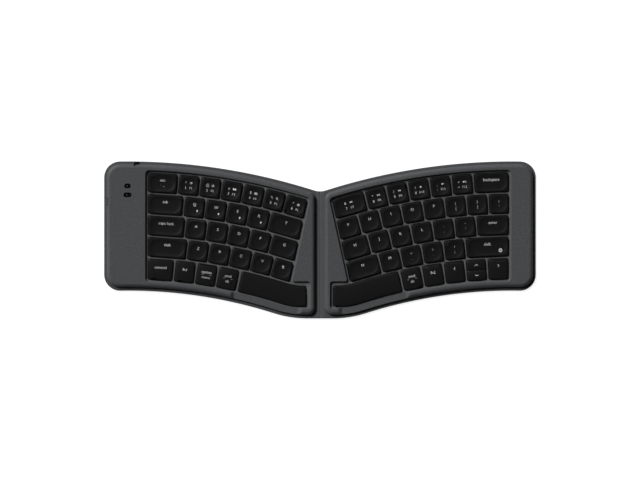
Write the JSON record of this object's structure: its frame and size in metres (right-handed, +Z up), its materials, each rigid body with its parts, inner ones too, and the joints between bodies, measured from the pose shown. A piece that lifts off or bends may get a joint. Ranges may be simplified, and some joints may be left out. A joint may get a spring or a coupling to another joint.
{
  "type": "folding wireless keyboard",
  "caption": "Slim wireless keyboard in two curved key halves on one flexible cover that folds shut along its bare middle strip, with keys, battery and charging socket.",
  "frame": {"origin": "middle of the open keyboard's outline, on the desk under its feet", "axes": "+X to the user's right, +Y away from the user, +Z up out of the keys"},
  "size_m": [0.3906, 0.142, 0.0055],
  "materials": {
    "shell": "fine-grained matt, dark grey",
    "cover": "grained synthetic leather, dark grey",
    "keycap": "matt, near black",
    "steel": "plain sheet steel",
    "film": "translucent film",
    "link": "moulded",
    "dome": "silicone",
    "magnet": "nickel plated",
    "board": "solder mask",
    "cell": "laminated pouch",
    "socket": "nickel plated",
    "knob": "black",
    "lens": "smoked",
    "ribbon": "polyimide",
    "foot": "soft rubber"
  },
  "bodies": {
    "left_half": {"cover_left": "cover", "upper_shell_left": "shell", "switch_plate_left": "steel", "membrane_left": "film", "scissor_links_left": "link", "rubber_domes_left": "dome", "magnets_left": "magnet", "feet_left": "foot", "main_board": "board", "battery": "cell", "usb_c_socket": "socket", "indicator_lenses": "lens"},
    "spine": {"cover_spine": "cover", "ribbon_cable": "ribbon"},
    "right_half": {"cover_right": "cover", "upper_shell_right": "shell", "switch_plate_right": "steel", "membrane_right": "film", "scissor_links_right": "link", "rubber_domes_right": "dome", "magnets_right": "magnet", "feet_right": "foot"},
    "power_switch": {"power_switch_knob": "knob"},
    "key_esc": {"key_esc": "keycap"},
    "keys_numbers_left": {"keys_numbers_left": "keycap"},
    "key_tab": {"key_tab": "keycap"},
    "keys_upper_letters_left": {"keys_upper_letters_left": "keycap"},
    "key_caps_lock": {"key_caps_lock": "keycap"},
    "key_a": {"key_a": "keycap"},
    "key_s": {"key_s": "keycap"},
    "key_d": {"key_d": "keycap"},
    "key_f": {"key_f": "keycap"},
    "key_g": {"key_g": "keycap"},
    "key_shift_left": {"key_shift_left": "keycap"},
    "keys_lower_letters_left": {"keys_lower_letters_left": "keycap"},
    "key_control": {"key_control": "keycap"},
    "key_fn1": {"key_fn1": "keycap"},
    "key_option": {"key_option": "keycap"},
    "key_alt_left": {"key_alt_left": "keycap"},
    "key_space_left": {"key_space_left": "keycap"},
    "keys_numbers_right": {"keys_numbers_right": "keycap"},
    "key_backspace": {"key_backspace": "keycap"},
    "keys_upper_letters_right": {"keys_upper_letters_right": "keycap"},
    "key_backslash": {"key_backslash": "keycap"},
    "key_h": {"key_h": "keycap"},
    "key_j": {"key_j": "keycap"},
    "key_k": {"key_k": "keycap"},
    "key_l": {"key_l": "keycap"},
    "key_semicolon": {"key_semicolon": "keycap"},
    "key_quote": {"key_quote": "keycap"},
    "key_enter": {"key_enter": "keycap"},
    "keys_lower_letters_right": {"keys_lower_letters_right": "keycap"},
    "key_shift_right": {"key_shift_right": "keycap"},
    "key_space_right": {"key_space_right": "keycap"},
    "key_alt_right": {"key_alt_right": "keycap"},
    "key_fn2": {"key_fn2": "keycap"},
    "key_arrow_left": {"key_arrow_left": "keycap"},
    "key_arrow_up": {"key_arrow_up": "keycap"},
    "key_arrow_down": {"key_arrow_down": "keycap"},
    "key_arrow_right": {"key_arrow_right": "keycap"}
  },
  "joints": [
    {"name": "fold_left", "type": "hinge", "parent": "left_half", "child": "spine", "pos_m": [-0.004, 0, 0.0018], "axis": [0, -1, 0], "range_deg": [0, 90]},
    {"name": "fold_right", "type": "hinge", "parent": "spine", "child": "right_half", "pos_m": [0.004, 0, 0.0018], "axis": [0, -1, 0], "range_deg": [0, 90]},
    {"name": "power_slide", "type": "slide", "parent": "left_half", "child": "power_switch", "axis": [-1, 0, 0], "range_m": [0, 0.0016]},
    {"name": "press_esc", "type": "slide", "parent": "left_half", "child": "key_esc", "axis": [0, 0, -1], "range_m": [0, 0.001], "stiffness_N_per_m": 300},
    {"name": "press_numbers_left", "type": "slide", "parent": "left_half", "child": "keys_numbers_left", "axis": [0, 0, -1], "range_m": [0, 0.001], "stiffness_N_per_m": 300},
    {"name": "press_tab", "type": "slide", "parent": "left_half", "child": "key_tab", "axis": [0, 0, -1], "range_m": [0, 0.001], "stiffness_N_per_m": 300},
    {"name": "press_upper_letters_left", "type": "slide", "parent": "left_half", "child": "keys_upper_letters_left", "axis": [0, 0, -1], "range_m": [0, 0.001], "stiffness_N_per_m": 300},
    {"name": "press_caps_lock", "type": "slide", "parent": "left_half", "child": "key_caps_lock", "axis": [0, 0, -1], "range_m": [0, 0.001], "stiffness_N_per_m": 300},
    {"name": "press_a", "type": "slide", "parent": "left_half", "child": "key_a", "axis": [0, 0, -1], "range_m": [0, 0.001], "stiffness_N_per_m": 300},
    {"name": "press_s", "type": "slide", "parent": "left_half", "child": "key_s", "axis": [0, 0, -1], "range_m": [0, 0.001], "stiffness_N_per_m": 300},
    {"name": "press_d", "type": "slide", "parent": "left_half", "child": "key_d", "axis": [0, 0, -1], "range_m": [0, 0.001], "stiffness_N_per_m": 300},
    {"name": "press_f", "type": "slide", "parent": "left_half", "child": "key_f", "axis": [0, 0, -1], "range_m": [0, 0.001], "stiffness_N_per_m": 300},
    {"name": "press_g", "type": "slide", "parent": "left_half", "child": "key_g", "axis": [0, 0, -1], "range_m": [0, 0.001], "stiffness_N_per_m": 300},
    {"name": "press_shift_left", "type": "slide", "parent": "left_half", "child": "key_shift_left", "axis": [0, 0, -1], "range_m": [0, 0.001], "stiffness_N_per_m": 300},
    {"name": "press_lower_letters_left", "type": "slide", "parent": "left_half", "child": "keys_lower_letters_left", "axis": [0, 0, -1], "range_m": [0, 0.001], "stiffness_N_per_m": 300},
    {"name": "press_control", "type": "slide", "parent": "left_half", "child": "key_control", "axis": [0, 0, -1], "range_m": [0, 0.001], "stiffness_N_per_m": 300},
    {"name": "press_fn1", "type": "slide", "parent": "left_half", "child": "key_fn1", "axis": [0, 0, -1], "range_m": [0, 0.001], "stiffness_N_per_m": 300},
    {"name": "press_option", "type": "slide", "parent": "left_half", "child": "key_option", "axis": [0, 0, -1], "range_m": [0, 0.001], "stiffness_N_per_m": 300},
    {"name": "press_alt_left", "type": "slide", "parent": "left_half", "child": "key_alt_left", "axis": [0, 0, -1], "range_m": [0, 0.001], "stiffness_N_per_m": 300},
    {"name": "press_space_left", "type": "slide", "parent": "left_half", "child": "key_space_left", "axis": [0, 0, -1], "range_m": [0, 0.001], "stiffness_N_per_m": 300},
    {"name": "press_numbers_right", "type": "slide", "parent": "right_half", "child": "keys_numbers_right", "axis": [0, 0, -1], "range_m": [0, 0.001], "stiffness_N_per_m": 300},
    {"name": "press_backspace", "type": "slide", "parent": "right_half", "child": "key_backspace", "axis": [0, 0, -1], "range_m": [0, 0.001], "stiffness_N_per_m": 300},
    {"name": "press_upper_letters_right", "type": "slide", "parent": "right_half", "child": "keys_upper_letters_right", "axis": [0, 0, -1], "range_m": [0, 0.001], "stiffness_N_per_m": 300},
    {"name": "press_backslash", "type": "slide", "parent": "right_half", "child": "key_backslash", "axis": [0, 0, -1], "range_m": [0, 0.001], "stiffness_N_per_m": 300},
    {"name": "press_h", "type": "slide", "parent": "right_half", "child": "key_h", "axis": [0, 0, -1], "range_m": [0, 0.001], "stiffness_N_per_m": 300},
    {"name": "press_j", "type": "slide", "parent": "right_half", "child": "key_j", "axis": [0, 0, -1], "range_m": [0, 0.001], "stiffness_N_per_m": 300},
    {"name": "press_k", "type": "slide", "parent": "right_half", "child": "key_k", "axis": [0, 0, -1], "range_m": [0, 0.001], "stiffness_N_per_m": 300},
    {"name": "press_l", "type": "slide", "parent": "right_half", "child": "key_l", "axis": [0, 0, -1], "range_m": [0, 0.001], "stiffness_N_per_m": 300},
    {"name": "press_semicolon", "type": "slide", "parent": "right_half", "child": "key_semicolon", "axis": [0, 0, -1], "range_m": [0, 0.001], "stiffness_N_per_m": 300},
    {"name": "press_quote", "type": "slide", "parent": "right_half", "child": "key_quote", "axis": [0, 0, -1], "range_m": [0, 0.001], "stiffness_N_per_m": 300},
    {"name": "press_enter", "type": "slide", "parent": "right_half", "child": "key_enter", "axis": [0, 0, -1], "range_m": [0, 0.001], "stiffness_N_per_m": 300},
    {"name": "press_lower_letters_right", "type": "slide", "parent": "right_half", "child": "keys_lower_letters_right", "axis": [0, 0, -1], "range_m": [0, 0.001], "stiffness_N_per_m": 300},
    {"name": "press_shift_right", "type": "slide", "parent": "right_half", "child": "key_shift_right", "axis": [0, 0, -1], "range_m": [0, 0.001], "stiffness_N_per_m": 300},
    {"name": "press_space_right", "type": "slide", "parent": "right_half", "child": "key_space_right", "axis": [0, 0, -1], "range_m": [0, 0.001], "stiffness_N_per_m": 300},
    {"name": "press_alt_right", "type": "slide", "parent": "right_half", "child": "key_alt_right", "axis": [0, 0, -1], "range_m": [0, 0.001], "stiffness_N_per_m": 300},
    {"name": "press_fn2", "type": "slide", "parent": "right_half", "child": "key_fn2", "axis": [0, 0, -1], "range_m": [0, 0.001], "stiffness_N_per_m": 300},
    {"name": "press_arrow_left", "type": "slide", "parent": "right_half", "child": "key_arrow_left", "axis": [0, 0, -1], "range_m": [0, 0.001], "stiffness_N_per_m": 300},
    {"name": "press_arrow_up", "type": "slide", "parent": "right_half", "child": "key_arrow_up", "axis": [0, 0, -1], "range_m": [0, 0.001], "stiffness_N_per_m": 300},
    {"name": "press_arrow_down", "type": "slide", "parent": "right_half", "child": "key_arrow_down", "axis": [0, 0, -1], "range_m": [0, 0.001], "stiffness_N_per_m": 300},
    {"name": "press_arrow_right", "type": "slide", "parent": "right_half", "child": "key_arrow_right", "axis": [0, 0, -1], "range_m": [0, 0.001], "stiffness_N_per_m": 300}
  ]
}
